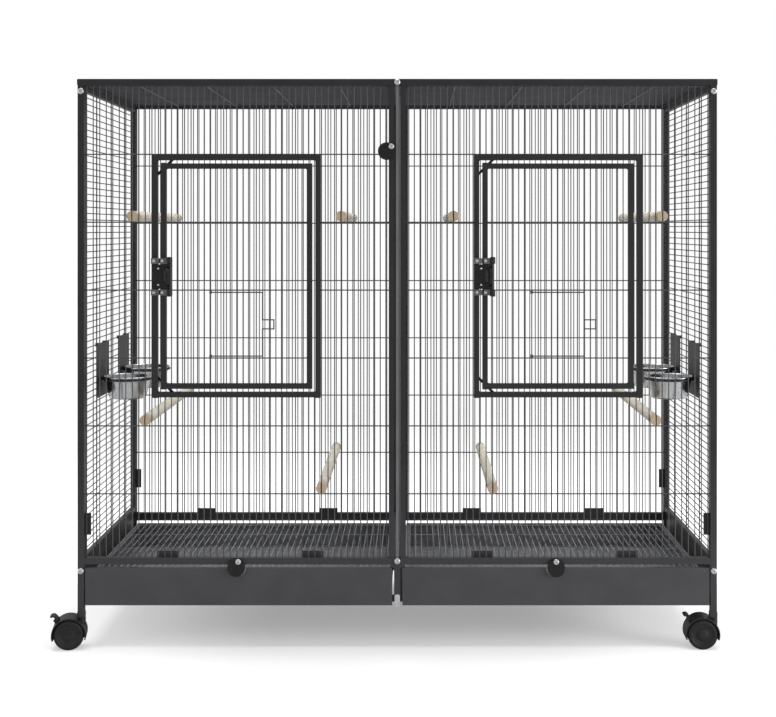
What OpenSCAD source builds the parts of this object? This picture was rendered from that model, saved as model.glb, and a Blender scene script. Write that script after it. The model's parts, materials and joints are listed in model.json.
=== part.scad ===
// Double flight cage for small birds: two compartments side by side, a sliding divider between
// them, a swinging door with a wire hatch in each front, pull-out trays, and four casters.
// X runs along the width, the front faces -Y, Z is up, and the floor is at zero.

/* [Cage body] */
// Width over the corner posts
cage_w = 1200; // [1100:1:1320]
// Depth between the front and the back wire planes
cage_d = 480; // [440:1:560]
// Height of the top rails above the floor
cage_h = 1068; // [1040:1:1180]
// Underside of the front bottom rail above the floor
front_rail_z = 157; // [154:0.5:162]
// Underside of the back bottom rail above the floor
back_rail_z = 141; // [138:0.5:143]
// Lower end of the corner posts above the floor
post_z = 137; // [130:0.5:140]
// Width of the slot between the two front halves, where the divider slides
slot_w = 12; // [11:0.5:16]

/* [Tubes and wires] */
// Outside size of the main square tube
tube = 12; // [11:0.5:14]
// Outside size of the light square tube
light_tube = 10; // [9:0.5:11]
// Wall of both square tubes
tube_wall = 1; // [0.8:0.1:1.5]
// Diameter of the close-set wires
wire_d = 2; // [1.6:0.1:2.4]
// Diameter of the cross wires
cross_d = 2.4; // [2:0.1:3]
// Spacing of the close-set wires
pitch = 12.27; // [11.5:0.01:13]
// Spacing of the cross wires
cross_pitch = 127.8; // [120:0.1:130]
// Height of the lowest cross wire of the front and back
cross_z = 287.8; // [280:0.1:292]
// Gap left at a weld, where wires cross or tubes meet
weld_gap = 0.1; // [0.05:0.05:0.2]

/* [Doors] */
// Distance of each door's centre line from the middle of its half, towards the other half
door_in = 1; // [0:0.5:6]
// Outside width of the door opening's frame
opening_w = 316; // [300:1:330]
// Underside of the door opening's frame above the floor
opening_z = 470; // [455:1:490]
// Outside height of the door opening's frame
opening_h = 455.5; // [420:0.5:455.5]
// Gap all round between the door and its opening
door_gap = 6; // [4:0.5:8]
// Diameter of the door's pivot pins
pin_d = 5; // [4:0.5:6]
// Depth of each pin in the door
pin_in = 10; // [6:1:16]
// Running clearance of a pin in its hole, on the diameter
run_fit = 0.12; // [0.08:0.01:0.18]
// Bars from the middle of the door to each edge of the hatch
hatch_bars = 4; // [3:1:5]
// Length of the hatch's wire loop catch
catch_l = 20; // [14:1:26]

/* [Latches] */
// Height of each latch
latch_h = 70; // [60:1:80]
// Height of the latch's middle above the floor
latch_z = 697; // [640:1:740]
// Width of the latch plate on the door
latch_w = 22; // [18:1:28]
// Height of the end blocks that guide the bolt
latch_end = 11; // [8:1:14]
// Travel of the bolt
bolt_travel = 12; // [10:1:14]

/* [Trays and floor grates] */
// Height of the tray front
fascia_h = 70; // [60:1:72]
// Underside of the tray front above the floor
fascia_z = 80; // [76:0.5:82]
// Height of the tray's walls behind its front
tray_h = 47; // [35:0.5:47]
// Sheet thickness of the trays
sheet = 1; // [0.8:0.1:1.5]
// Gap between a tray front and the middle of the cage
tray_inset = 9.5; // [8:0.5:12]
// Width of the rim that carries the grate
tray_rim = 9; // [7:0.5:12]
// Height of the grate's edge bars
grate_edge = 4.2; // [3.8:0.1:5]

/* [Turn locks and bolts] */
// Radius of the turn locks
lock_r = 16.5; // [14:0.5:18]
// Thickness of the turn locks
lock_t = 6; // [4:0.5:8]
// Distance of a lock's screw from the middle of the disc
lock_offset = 12.4; // [8:0.1:12.6]
// Angle at which the left tray's lock hangs
left_lock_turn = 20; // [0:1:30]
// Diameter of the lock screws
screw_d = 4; // [3:0.5:5]
// Drop from the top of the cage to the divider lock's screw
divider_lock_drop = 127; // [80:1:180]
// Angle by which the divider lock is turned aside
divider_lock_turn = 45; // [45:1:80]
// Diameter of the frame bolts
bolt_d = 6; // [5:0.5:6]
// Diameter of the frame bolts' domed heads
bolt_head_d = 12; // [10:0.5:12]
// Drop from the top of the cage to the upper corner bolts
bolt_drop = 23; // [18:1:40]

/* [Perches, cups and clips] */
// Diameter of the wooden perches
perch_d = 20; // [14:0.5:20]
// Length of a perch that stands out past the wires
perch_out = 6; // [3:0.5:10]
// Diameter of the cups over the rim
cup_d = 97; // [80:1:100]
// Height of the cups
cup_h = 44; // [36:1:50]
// Width of the rolled rim of the cups
cup_rim = 4.5; // [3.5:0.5:6]
// Wall of the cups
cup_wall = 0.9; // [0.6:0.1:1.2]
// Width and height of the plates that hold the cups
holder_w = 105; // [100:1:112]
// Length of the seed guard clips
clip_l = 41; // [30:1:50]
// Height of the seed guard clips
clip_h = 11; // [8:0.5:14]

/* [Casters] */
// Radius of the wheels
wheel_r = 28; // [25:0.5:28.5]
// Width of each wheel
wheel_w = 16; // [12:0.5:18]
// Distance of the wheels' axle from the swivel
trail = 22; // [20:0.5:24]
// Diameter of the axle
axle_d = 6; // [5:0.5:7]
// Diameter of the swivel stem
stem_d = 7; // [6:0.5:7]
// Height of the swivel bearing above the floor
caster_h = 56.5; // [56:0.5:60]
// Yaw of the left front caster from straight sideways
left_yaw = 9; // [0:1:20]
// Yaw of the right front caster from straight sideways
right_yaw = 3; // [0:1:20]

/* [Hidden] */
$fn = 48;
half_w = cage_w / 2;
door_x = (half_w + slot_w / 2) / 2 - door_in;
front_y = -cage_d / 2;
back_y = cage_d / 2;
post_x = half_w - tube / 2;
centre_x = slot_w / 2 + light_tube / 2;
post_top = cage_h - tube;
front_rail_top = front_rail_z + tube;
back_rail_top = back_rail_z + tube;
// Bars of one half are counted from the door's centre line to the posts on both sides.
half_bars = floor(min(half_w - tube - door_x, door_x - slot_w / 2 - light_tube) / pitch - 0.1);
cross_n = floor((post_top - cross_z) / cross_pitch);
cross_levels = [for (i = [0 : cross_n]) cross_z + i * cross_pitch];
layer = (wire_d + cross_d) / 2 + weld_gap;
touch = 0.3;
slide_gap = 0.3;

// Door opening and door
open_in_w = opening_w - 2 * light_tube;
open_in_z = opening_z + light_tube;
open_top = opening_z + opening_h;
leaf_w = open_in_w - 2 * door_gap;
leaf_z = open_in_z + door_gap;
leaf_top = open_top - light_tube - door_gap;
leaf_in_w = leaf_w - 2 * light_tube;
hinge_x = leaf_w / 2 - light_tube / 2;
leaf_bars = floor((leaf_in_w / 2 - wire_d) / pitch);
door_levels = [for (z = cross_levels) if (z > leaf_z + 2 * light_tube && z < leaf_top - 2 * light_tube) z];
stop_l = 42;
stop_w = 5;
stop_t = 2.5;
hatch_low = door_levels[0];
hatch_high = door_levels[1];
hatch_x = hatch_bars * pitch;
eye_r = wire_d / 2 + 1.6;
eye_h = 5;
catch_h = 17;

// Latch, in front of the door's left tube and of the opening's left tube
tube_front = front_y - light_tube / 2;
tube_back = front_y + light_tube / 2;
latch_plate = 3;
latch_block = 13;
bolt_t = 5;
bolt_h = latch_h - 2 * latch_end - 2;
bolt_reach = door_gap + light_tube - 1;
loop_out = 12;
loop_bar = 5;
rivet_r = 2.4;
bolt_in = 4;
bolt_slot_in = 4.5;
bolt_slot_w = 6;

// Divider, between the two centre beams
divider_rod = 5;
divider_z = front_rail_top + touch;
divider_top = post_top - touch;
divider_front = front_y - light_tube / 2;
divider_back = back_y - light_tube / 2;

// Side panels stand between the corner posts.
side_front = front_y + tube / 2;
side_back = back_y - tube / 2;
side_top = post_top - light_tube;
side_bars = floor((side_top - front_rail_top) / pitch);
side_cross = floor((cage_d / 2 - tube) / cross_pitch);
skirt_z = 112;
skirt_t = 3;
function side_z(i) = (side_top + front_rail_top) / 2 + (i - (side_bars - 1) / 2) * pitch;
function cross_y(i) = i * cross_pitch;

// Roof
roof_z = cage_h - tube / 2;
roof_bars = floor((cage_d - tube) / pitch - 0.2);
function roof_y(i) = (i - (roof_bars - 1) / 2) * pitch;

// Legs end in spigots inside the posts, and the runners carry the trays between the legs.
leg_fit = 0.15;
leg_size = tube - 2 * tube_wall - 2 * leg_fit;
leg_z = caster_h + 0.5;
leg_in = 53;
foot_w = tube + 1.5;
foot_h = 10;
leg_top = post_z + leg_in;
stem_in = 30;
leg_bolt_z = post_z + 7.5;
runner_t = 1.5;
runner_w = 13;
runner_h = 17;
runner_x = post_x - tube / 2 - runner_t;
runner_l = cage_d - 4;
pan_in = 2.5;
tray_z = fascia_z + slide_gap;
tray_out_x = runner_x - 1.6;
tray_back = back_y - 8;
fascia_y = front_y - tube / 2;
rim_z = tray_z + tray_h;
grate_z = rim_z + slide_gap;
grate_in = 2;
centre_channel_w = 10;
centre_channel_h = 20;
centre_brim = 22;
centre_bend = 2;
flange_gap = 0.5;
flange_h = 6;
flange_lift = 1;
flange_w = 2 * (tray_inset + pan_in + grate_in - flange_gap);
flange_z = max(front_rail_z - flange_h, fascia_z + fascia_h + flange_lift);
flange_l = back_y - tube / 2 - weld_gap - fascia_y;
// Stretches of the channel's brims, from the front of the cage: whole on the right, broken on the left
right_brim = [[20, cage_d]];
left_brim = [[20, 70], [cage_d - 220, cage_d]];

// Turn locks hang from screws in the front rail and in the left centre post.
lock_fit = 0.12;
screw_head_d = 11;
head_h = 3.6;
notch_gap = 1.5;
shank_l = 9;
rail_mid = front_rail_z + tube / 2;
lock_x = (tray_inset + tray_out_x + 1) / 2;
divider_lock_z = cage_h - divider_lock_drop;

// Perches: wire counted from the posts at the left (+) or the right (-), and cross wire that carries it
left_perches = [[7, 4], [-7, 4], [9, 1], [-10, 0]];
right_perches = [[7, 4], [-7, 4], [-8, 1], [13, 0]];
perch_fit = 0.4;
function perch_x(cx, n) = cx + (n > 0 ? n - half_bars : n + half_bars) * pitch;

// Cups hang in rings on plates that hook over the side wires.
cup_front_in = 156;
cup_rear_in = 131;
cup_ys = [front_y + cup_front_in, back_y - cup_rear_in];
holder_t = 1.5;
ring_r = 2;
cup_taper = 8;
hook_lip = 5;
cup_z = 450;
hook_bar = floor((cup_z + holder_w - front_rail_top) / pitch);
holder_top = side_z(hook_bar) + wire_d / 2 + 0.15;
holder_x = post_x - cross_d - weld_gap - wire_d / 2 - 0.2 - holder_t;
ring_big = cup_d / 2 - 0.5;
cup_x = holder_x - ring_big - ring_r + 1;
hook_w = 8;
hook_span = 30;
hook_gap = 0.4;

// Clips on the rails, from the middle of the cage
clip_xs = [160, 432];
clip_t = 1.5;
post_clip_z = 210;

// Casters
wheel_gap = 5;
hood_gap = 1.5;
hood_t = 2.5;
hood_r = wheel_r + hood_gap + hood_t;
hood_half_w = wheel_gap + wheel_w + 0.5;
hood_low = 9;
web_t = 8;
boss_r = 8;
boss_h = 16;
flat_r = 0.75 * foot_w;
wheel_edge = 2.5;
wheel_rim = 8;
wheel_recess = 2;
lever_angle = 48;
lever_hub = 3.5;
lever_w = 20;
lever_pin = 3;
lever_r = hood_r + lever_hub + 0.5;
lever_curl = 5.5;
lever_t = 3;
lever_end = 40;
leg_x = post_x;
caster_yaw = [180 + left_yaw, 180 - right_yaw, -right_yaw, left_yaw];

graphite = "#3a3a3c";
wire_grey = "#4a4a4c";
tray_grey = "#4a4a4b";
black = "#242425";
zinc = "#c4c6c8";
steel = "#b9bcc0";
wood = "#d8c6a6";

// A square tube along one axis, centred on the other two
module tube_x(x0, x1, y, z, size) {
  translate([x0, y - size / 2, z - size / 2])
    difference() {
      cube([x1 - x0, size, size]);
      translate([-1, tube_wall, tube_wall])
        cube([x1 - x0 + 2, size - 2 * tube_wall, size - 2 * tube_wall]);
    }
}

module tube_y(y0, y1, x, z, size) {
  translate([x - size / 2, y0, z - size / 2])
    difference() {
      cube([size, y1 - y0, size]);
      translate([tube_wall, -1, tube_wall])
        cube([size - 2 * tube_wall, y1 - y0 + 2, size - 2 * tube_wall]);
    }
}

module tube_z(z0, z1, x, y, size) {
  translate([x - size / 2, y - size / 2, z0])
    difference() {
      cube([size, size, z1 - z0]);
      translate([tube_wall, tube_wall, -1])
        cube([size - 2 * tube_wall, size - 2 * tube_wall, z1 - z0 + 2]);
    }
}

// A round wire along one axis
module wire_x(x0, x1, y, z, d) {
  translate([x0, y, z])
    rotate([0, 90, 0])
      cylinder(d = d, h = x1 - x0);
}

module wire_y(y0, y1, x, z, d) {
  translate([x, y0, z])
    rotate([-90, 0, 0])
      cylinder(d = d, h = y1 - y0);
}

module wire_z(z0, z1, x, y, d) {
  translate([x, y, z0])
    cylinder(d = d, h = z1 - z0);
}

// A hole along Y, for a frame bolt or a screw
module hole_y(x, y, z, d, l) {
  translate([x, y - l / 2, z])
    rotate([-90, 0, 0])
      cylinder(d = d, h = l);
}

// Corner post with the bolt holes for the side panel and for the leg
module corner_post(side, y) {
  difference() {
    tube_z(post_z, post_top - weld_gap, side * post_x, y, tube);
    for (z = [cage_h - bolt_drop, leg_bolt_z])
      hole_y(side * post_x, sign(y) * (cage_d / 2 + tube / 2), z, bolt_d + run_fit, 2 * tube_wall + 1);
  }
}

// Tubes round the door's opening
module opening_frame(cx) {
  for (s = [-1, 1])
    tube_z(opening_z, open_top, cx + s * (opening_w - light_tube) / 2, front_y, light_tube);
  for (z = [opening_z + light_tube / 2, open_top - light_tube / 2])
    tube_x(cx - open_in_w / 2 + weld_gap, cx + open_in_w / 2 - weld_gap, front_y, z, light_tube);
  door_stop(cx, open_top - light_tube, -1);
  door_stop(cx, open_in_z, 1);
}

// Flat bar across a latch-side corner of the opening, behind the door
module door_stop(cx, z, up) {
  reach = stop_l / sqrt(8);
  translate([cx - open_in_w / 2 + reach - stop_w / 2, tube_back + touch, z + up * (reach - stop_w / 2)])
    rotate([0, up * 45, 0])
      translate([-stop_l / 2, 0, -stop_w / 2])
        cube([stop_l, stop_t, stop_w]);
}

// Tubes of one half of the front, on the left (-1) or the right (1)
module front_frame(side) {
  corner_post(side, front_y);
  mirror([side < 0 ? 1 : 0, 0, 0]) {
    tube_x(slot_w / 2, half_w, front_y, roof_z, tube);
    tube_x(slot_w / 2, half_w - tube - weld_gap, front_y, rail_mid, tube);
  }
  tube_z(front_rail_top + weld_gap, post_top - weld_gap, side * centre_x, front_y, light_tube);
  opening_frame(side * door_x);
}

module front_left_frame() {
  color(graphite) difference() {
    front_frame(-1);
    lock_holes();
  }
}

module front_right_frame() {
  color(graphite) difference() {
    front_frame(1);
    lock_holes();
  }
}

// Screw holes of the turn locks in the front tubes
module lock_holes() {
  for (s = [-1, 1])
    hole_y(s * lock_x, front_y - tube / 2, rail_mid, screw_d + lock_fit, 2 * tube_wall + 1);
  hole_y(-centre_x, tube_front, divider_lock_z, screw_d + lock_fit, 2 * tube_wall + 1);
}

// Wires of one half of the front, cut away where the door's opening is
module front_wires(side) {
  cx = side * door_x;
  cut = opening_w / 2 + wire_d / 2 + 0.2;
  for (k = [-half_bars : half_bars])
    if (abs(k * pitch) > cut)
      wire_z(front_rail_top, post_top, cx + k * pitch, front_y, wire_d);
    else {
      wire_z(front_rail_top, opening_z, cx + k * pitch, front_y, wire_d);
      wire_z(open_top, post_top, cx + k * pitch, front_y, wire_d);
    }
  inner = slot_w / 2 + light_tube;
  outer = half_w - tube;
  mirror([side < 0 ? 1 : 0, 0, 0])
    for (z = cross_levels)
      if (z > opening_z - cross_d && z < open_top) {
        wire_x(inner, door_x - opening_w / 2, front_y + layer, z, cross_d);
        wire_x(door_x + opening_w / 2, outer, front_y + layer, z, cross_d);
      } else
        wire_x(inner, outer, front_y + layer, z, cross_d);
}

module front_left_wires() {
  color(wire_grey) front_wires(-1);
}

module front_right_wires() {
  color(wire_grey) front_wires(1);
}

// Tubes of the back, in two halves
module back_frame() {
  color(graphite) for (s = [-1, 1]) {
    corner_post(s, back_y);
    mirror([s < 0 ? 1 : 0, 0, 0]) {
      tube_x(slot_w / 2, half_w, back_y, roof_z, tube);
      tube_x(slot_w / 2, half_w - tube - weld_gap, back_y, back_rail_z + tube / 2, tube);
    }
    tube_z(back_rail_top + weld_gap, post_top - weld_gap, s * centre_x, back_y, light_tube);
  }
}

module back_wires() {
  color(wire_grey) for (s = [-1, 1]) {
    for (k = [-half_bars : half_bars])
      wire_z(back_rail_top, post_top, s * door_x + k * pitch, back_y, wire_d);
    mirror([s < 0 ? 1 : 0, 0, 0])
      for (z = cross_levels)
        wire_x(slot_w / 2 + light_tube, half_w - tube, back_y - layer, z, cross_d);
  }
}

// Side panel: a frame of light tube between the corner posts, with a flat bar under it
module side_frame(side) {
  for (y = [side_front + light_tube / 2, side_back - light_tube / 2])
    tube_z(front_rail_z, post_top, side * post_x, y, light_tube);
  for (z = [front_rail_z + tube / 2, side_top + light_tube / 2])
    tube_y(side_front + light_tube + weld_gap, side_back - light_tube - weld_gap,
           side * post_x, z, light_tube);
  translate([side * post_x - skirt_t / 2, side_front + weld_gap, skirt_z])
    cube([skirt_t, side_back - side_front - 2 * weld_gap, front_rail_z - weld_gap - skirt_z]);
}

module side_wires(side) {
  low = rail_mid + light_tube / 2;
  for (i = [0 : side_bars - 1])
    wire_y(side_front + light_tube, side_back - light_tube, side * post_x, side_z(i), wire_d);
  for (i = [-side_cross : side_cross])
    wire_z(low, side_top, side * (post_x - layer), cross_y(i), cross_d);
}

module left_side_frame() {
  color(graphite) side_frame(-1);
}

module left_side_wires() {
  color(wire_grey) side_wires(-1);
}

module right_side_frame() {
  color(graphite) side_frame(1);
}

module right_side_wires() {
  color(wire_grey) side_wires(1);
}

// Roof rails at the two sides, between the front and the back top rails
module roof_frame() {
  color(graphite) for (s = [-1, 1])
    tube_y(side_front, side_back, s * post_x, roof_z, tube);
}

module roof_wires() {
  color(wire_grey) mirror_pair() {
    for (i = [0 : roof_bars - 1])
      wire_x(slot_w / 2, half_w - tube, roof_y(i), roof_z, wire_d);
    for (k = [-1.5 : 1.5])
      wire_y(side_front, side_back, door_x + k * cross_pitch, roof_z - layer, cross_d);
  }
}

// The same thing on the right and, mirrored, on the left
module mirror_pair() {
  children();
  mirror([1, 0, 0])
    children();
}

// Solid centre beams front to back: one in the roof, one under the divider, drilled for bolts.
// The lower one has a flat flange as far as the back rail, and an upright at each end that stands
// on the channel.
module centre_beams() {
  gap = 0.05;
  foot = fascia_z + centre_channel_h;
  color(graphite) {
    beam(roof_z, fascia_y, -fascia_y, gap);
    beam(rail_mid, fascia_y, back_y + light_tube / 2, gap);
    translate([-flange_w / 2, fascia_y, flange_z])
      cube([flange_w, flange_l, front_rail_z - weld_gap - flange_z]);
    for (end = [[front_y, flange_z], [back_y, front_rail_z]])
      translate([-slot_w / 2, end[0] - light_tube / 2, foot])
        cube([slot_w, light_tube, end[1] - weld_gap - foot]);
  }
}

module beam(z, y0, y1, gap) {
  difference() {
    translate([-slot_w / 2 + gap, y0, z - tube / 2])
      cube([slot_w - 2 * gap, y1 - y0, tube]);
    for (y = [y0, y1])
      hole_y(0, y, z, bolt_d + run_fit, 2 * shank_l + 2);
  }
}

// Zinc-plated channel between the trays, closed at its ends, with brims that carry the trays' inner edges
module centre_channel() {
  t = runner_t;
  w = centre_channel_w / 2;
  h = centre_channel_h;
  bend = centre_bend;
  l = cage_d + light_tube;
  color(zinc) {
    translate([0, l / 2, fascia_z])
      rotate([90, 0, 0])
        difference() {
          linear_extrude(l)
            polygon([[-w, -t], [w, -t], [w, h - bend], [w - bend, h], [bend - w, h], [-w, h - bend]]);
          translate([t - w, -2 * t, t])
            cube([2 * w - 2 * t, h + t, l - 2 * t]);
        }
    brims(right_brim, w);
    mirror([1, 0, 0])
      brims(left_brim, w);
  }
}

// Flat brims along the channel's right edge
module brims(stretches, w) {
  t = runner_t;
  for (y = stretches)
    translate([w - t / 2, front_y + y[0], fascia_z - t])
      cube([centre_brim - w + t / 2, y[1] - y[0], t]);
}

// A square bar round a corner post's axis
module square_bar(x, y, z0, z1, size) {
  translate([x - size / 2, y - size / 2, z0])
    cube([size, size, z1 - z0]);
}

// Legs with a collar at the foot, drilled for the caster stems and for the bolts through the posts
module legs() {
  color(graphite) for (s = [-1, 1], y = [front_y, back_y])
    difference() {
      union() {
        square_bar(s * post_x, y, leg_z, leg_z + foot_h, foot_w);
        square_bar(s * post_x, y, leg_z + foot_h, post_z - weld_gap, tube);
        square_bar(s * post_x, y, post_z - weld_gap, leg_top, leg_size);
      }
      translate([s * post_x, y, leg_z - 1])
        cylinder(d = stem_d + run_fit, h = stem_in + 3);
      hole_y(s * post_x, sign(y) * (cage_d / 2 + tube / 2), leg_bolt_z, bolt_d + run_fit, 2 * shank_l + 2);
    }
}

// Angle runners between the front and rear legs, which carry the outer edges of the trays
module tray_runners() {
  color(zinc) mirror_pair()
    translate([runner_x, runner_l / 2, fascia_z])
      rotate([90, 0, 0])
        linear_extrude(runner_l)
          polygon([
            [-runner_w, -runner_t], [runner_t, -runner_t], [runner_t, runner_h],
            [0, runner_h], [0, 0], [-runner_w, 0]
          ]);
}

// Bolt or screw along Y with a domed head that bears on the face at the origin
module domed_bolt(d, head_d, length) {
  dome_r = (head_d * head_d / 4 + head_h * head_h) / (2 * head_h);
  rotate([90, 0, 0])
    intersection() {
      translate([0, 0, head_h - dome_r])
        sphere(r = dome_r);
      cylinder(d = head_d + 1, h = head_h);
    }
  rotate([-90, 0, 0])
    cylinder(d = d, h = length);
}

module frame_bolts() {
  color(zinc) for (back = [0, 1])
    mirror([0, back, 0]) {
      for (s = [-1, 1], z = [cage_h - bolt_drop, leg_bolt_z])
        translate([s * post_x, fascia_y, z])
          domed_bolt(bolt_d, bolt_head_d, shank_l);
      translate([0, fascia_y, roof_z])
        domed_bolt(bolt_d, bolt_head_d, shank_l);
      translate([0, back == 0 ? fascia_y : tube_front, rail_mid])
        domed_bolt(bolt_d, bolt_head_d, shank_l);
    }
}

// Folded tabs on the rails and posts, where seed guards can be clipped on
module seed_guard_clips() {
  color(black) mirror_pair() {
    for (x = clip_xs) {
      translate([x - clip_l / 2, front_y + tube / 2 - clip_t, front_rail_top])
        cube([clip_l, clip_t, clip_h]);
      translate([x - clip_l / 2, back_y - tube / 2, back_rail_top])
        cube([clip_l, clip_t, clip_h]);
    }
    for (y = [side_front - clip_t, side_back])
      translate([half_w - tube - clip_h, y, post_clip_z])
        cube([clip_h, clip_t, clip_l]);
  }
}

// Wooden dowels front to back; each slotted end grips a wire and rests on a cross wire
module perch(x, level) {
  z = cross_levels[level] + cross_d / 2 + weld_gap + perch_d / 2;
  l = cage_d + 2 * perch_out;
  slot = wire_d + perch_fit;
  deep = perch_out + (wire_d + perch_fit) / 2;
  difference() {
    wire_y(-l / 2, l / 2, x, z, perch_d);
    for (y = [-l / 2 - 1, l / 2 - deep])
      translate([x - slot / 2, y, z - perch_d])
        cube([slot, deep + 1, 2 * perch_d]);
  }
}

module left_perches() {
  color(wood) for (p = left_perches)
    perch(perch_x(-door_x, p[0]), p[1]);
}

module right_perches() {
  color(wood) for (p = right_perches)
    perch(perch_x(door_x, p[0]), p[1]);
}

// Plate with a ring for a cup and two hooks over a side wire, on the right
module cup_holder(y) {
  hook_z = holder_top;
  lip_x = post_x + wire_d / 2 + hook_gap;
  translate([holder_x, y - holder_w / 2, holder_top - holder_w])
    cube([holder_t, holder_w, holder_w]);
  for (dy = [-hook_span, hook_span]) {
    translate([holder_x, y + dy - hook_w / 2, hook_z])
      cube([lip_x + holder_t - holder_x, hook_w, holder_t]);
    translate([lip_x, y + dy - hook_w / 2, hook_z - hook_lip])
      cube([holder_t, hook_w, hook_lip + holder_t]);
  }
  translate([cup_x, y, cup_z + cup_h - cup_rim + 1 - ring_r - touch])
    rotate_extrude()
      translate([ring_big, 0])
        circle(r = ring_r);
}

module left_cup_holders() {
  color(graphite) mirror([1, 0, 0])
    for (y = cup_ys)
      cup_holder(y);
}

module right_cup_holders() {
  color(graphite) for (y = cup_ys)
    cup_holder(y);
}

// Pressed steel cup with a flared wall and a turned-over rim
module cup(x, y) {
  r_top = ring_big - ring_r - 1;
  r_low = r_top - cup_taper;
  r_rim = cup_d / 2;
  h = cup_h;
  lip = cup_rim - 1;
  w = cup_wall;
  color(steel) translate([x, y, cup_z])
    rotate_extrude()
      polygon([
        [0, 0], [r_low - 2, 0], [r_low, 2], [r_top, h - lip], [r_rim, h - lip],
        [r_rim, h - 1], [r_rim - 1, h], [r_top - w, h], [r_low - w, 2 + w / 2],
        [r_low - 2 - w / 2, w], [0, w]
      ]);
}

module left_front_cup() {
  cup(-cup_x, cup_ys[0]);
}

module left_rear_cup() {
  cup(-cup_x, cup_ys[1]);
}

module right_front_cup() {
  cup(cup_x, cup_ys[0]);
}

module right_rear_cup() {
  cup(cup_x, cup_ys[1]);
}

// Pivot pins welded to the opening frames, above and below each door
module door_pins() {
  color(zinc) for (s = [-1, 1]) {
    x = s * door_x + hinge_x;
    wire_z(open_in_z, leaf_z + pin_in, x, front_y, pin_d);
    wire_z(leaf_top - pin_in, leaf_top + door_gap, x, front_y, pin_d);
  }
}

// Door leaf: three tubes, and a solid hinge stile drilled for the pivot pins
module door_frame(cx) {
  tube_z(leaf_z, leaf_top, cx - leaf_w / 2 + light_tube / 2, front_y, light_tube);
  for (z = [leaf_z + light_tube / 2, leaf_top - light_tube / 2])
    tube_x(cx - leaf_in_w / 2 + weld_gap, cx + leaf_in_w / 2 - weld_gap, front_y, z, light_tube);
  difference() {
    translate([cx + leaf_in_w / 2, front_y - light_tube / 2, leaf_z])
      cube([light_tube, light_tube, leaf_top - leaf_z]);
    for (z = [leaf_z - 1, leaf_top - pin_in - 1])
      wire_z(z, z + pin_in + 2, cx + hinge_x, front_y, pin_d + run_fit);
  }
}

// Wires of a door, with the hatch's opening between two cross wires
module door_wires(cx) {
  low = leaf_z + light_tube;
  high = leaf_top - light_tube;
  for (k = [-leaf_bars : leaf_bars])
    if (abs(k) >= hatch_bars)
      wire_z(low, high, cx + k * pitch, front_y, wire_d);
    else {
      wire_z(low, hatch_low + cross_d / 2, cx + k * pitch, front_y, wire_d);
      wire_z(hatch_high - cross_d / 2, high, cx + k * pitch, front_y, wire_d);
    }
  for (z = door_levels)
    wire_x(cx - leaf_in_w / 2, cx + leaf_in_w / 2, front_y + layer, z, cross_d);
}

// Wire hatch: two eyes turn on a bar of the door, and a wire loop hooks past the next bars
module hatch(cx) {
  out_y = front_y - layer;
  gap = 1.5;
  low = hatch_low + eye_h / 2 + gap;
  high = hatch_high - eye_h / 2 - gap;
  mid = (low + high) / 2;
  right_x = cx + hatch_x;
  for (z = [low, high]) {
    difference() {
      wire_z(z - eye_h / 2, z + eye_h / 2, cx - hatch_x, front_y, 2 * eye_r);
      wire_z(z - eye_h, z + eye_h, cx - hatch_x, front_y, wire_d + run_fit);
    }
    wire_x(cx - hatch_x, right_x, out_y, z, cross_d);
  }
  for (k = [1 - hatch_bars : hatch_bars - 1])
    wire_z(low - eye_h / 2, high + eye_h / 2, cx + k * pitch, front_y, wire_d);
  loop_y = out_y - cross_d - weld_gap;
  loop_low = mid - catch_h / 2;
  loop_high = mid + catch_h / 2;
  wire_z(low - cross_d / 2, loop_low - cross_d / 2, right_x, loop_y, cross_d);
  wire_z(loop_high + cross_d / 2, high + cross_d / 2, right_x, loop_y, cross_d);
  for (z = [loop_low, loop_high])
    wire_x(right_x - cross_d / 2, right_x + catch_l, loop_y, z, cross_d);
  wire_z(loop_low - cross_d / 2, loop_high + cross_d / 2, right_x + catch_l + cross_d / 2, loop_y, cross_d);
}

// Latch plate on the door's left tube, with an end block above and below the bolt
module latch_plate(cx) {
  x = cx - leaf_w / 2;
  translate([x, tube_front - latch_plate, latch_z - latch_h / 2])
    cube([latch_w, latch_plate, latch_h]);
  for (z = [latch_z - latch_h / 2, latch_z + latch_h / 2 - latch_end])
    translate([x + 2, tube_front - latch_block, z])
      cube([latch_w - 2, latch_block - latch_plate, latch_end]);
}

// Bolt that slides across the latch plate, with a slot, a D-shaped finger loop and two rivets
module latch_bolt(cx) {
  x = cx - leaf_w / 2;
  back = tube_front - latch_plate - slide_gap;
  loop_h = bolt_h - 2 * bolt_in;
  difference() {
    translate([x - bolt_reach, back - bolt_t, latch_z - bolt_h / 2])
      cube([bolt_reach + latch_w - bolt_in, bolt_t, bolt_h]);
    translate([x + bolt_slot_in, back - bolt_t - 1, latch_z - bolt_h / 4])
      cube([bolt_slot_w, bolt_t + 2, bolt_h / 2]);
  }
  translate([x + latch_w - bolt_in - loop_bar, back - bolt_t, latch_z])
    rotate([90, 0, 90])
      linear_extrude(loop_bar)
        difference() {
          finger_loop(loop_out, loop_h);
          finger_loop(loop_out - loop_bar, loop_h - 2 * loop_bar);
        }
  for (z = [-1, 1])
    translate([x - door_gap / 2, back - bolt_t, latch_z + z * bolt_h / 3])
      rotate([90, 0, 0])
        cylinder(r = rivet_r, h = 1);
}

// Segment of a circle that stands out from the bolt
module finger_loop(out, h) {
  r = (h * h / 4 + out * out) / (2 * out);
  intersection() {
    translate([r - out, 0])
      circle(r = r);
    translate([-out, -h / 2])
      square([out, h]);
  }
}

// Two lugs on each opening's left tube, above and below the bolt
module latch_keepers() {
  color(tray_grey) for (s = [-1, 1], z = [latch_z - latch_h / 2, latch_z + latch_h / 2 - latch_end])
    translate([s * door_x - opening_w / 2, tube_front - latch_block, z])
      cube([light_tube, latch_block, latch_end]);
}

module left_door_frame() {
  color(graphite) door_frame(-door_x);
}

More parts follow.
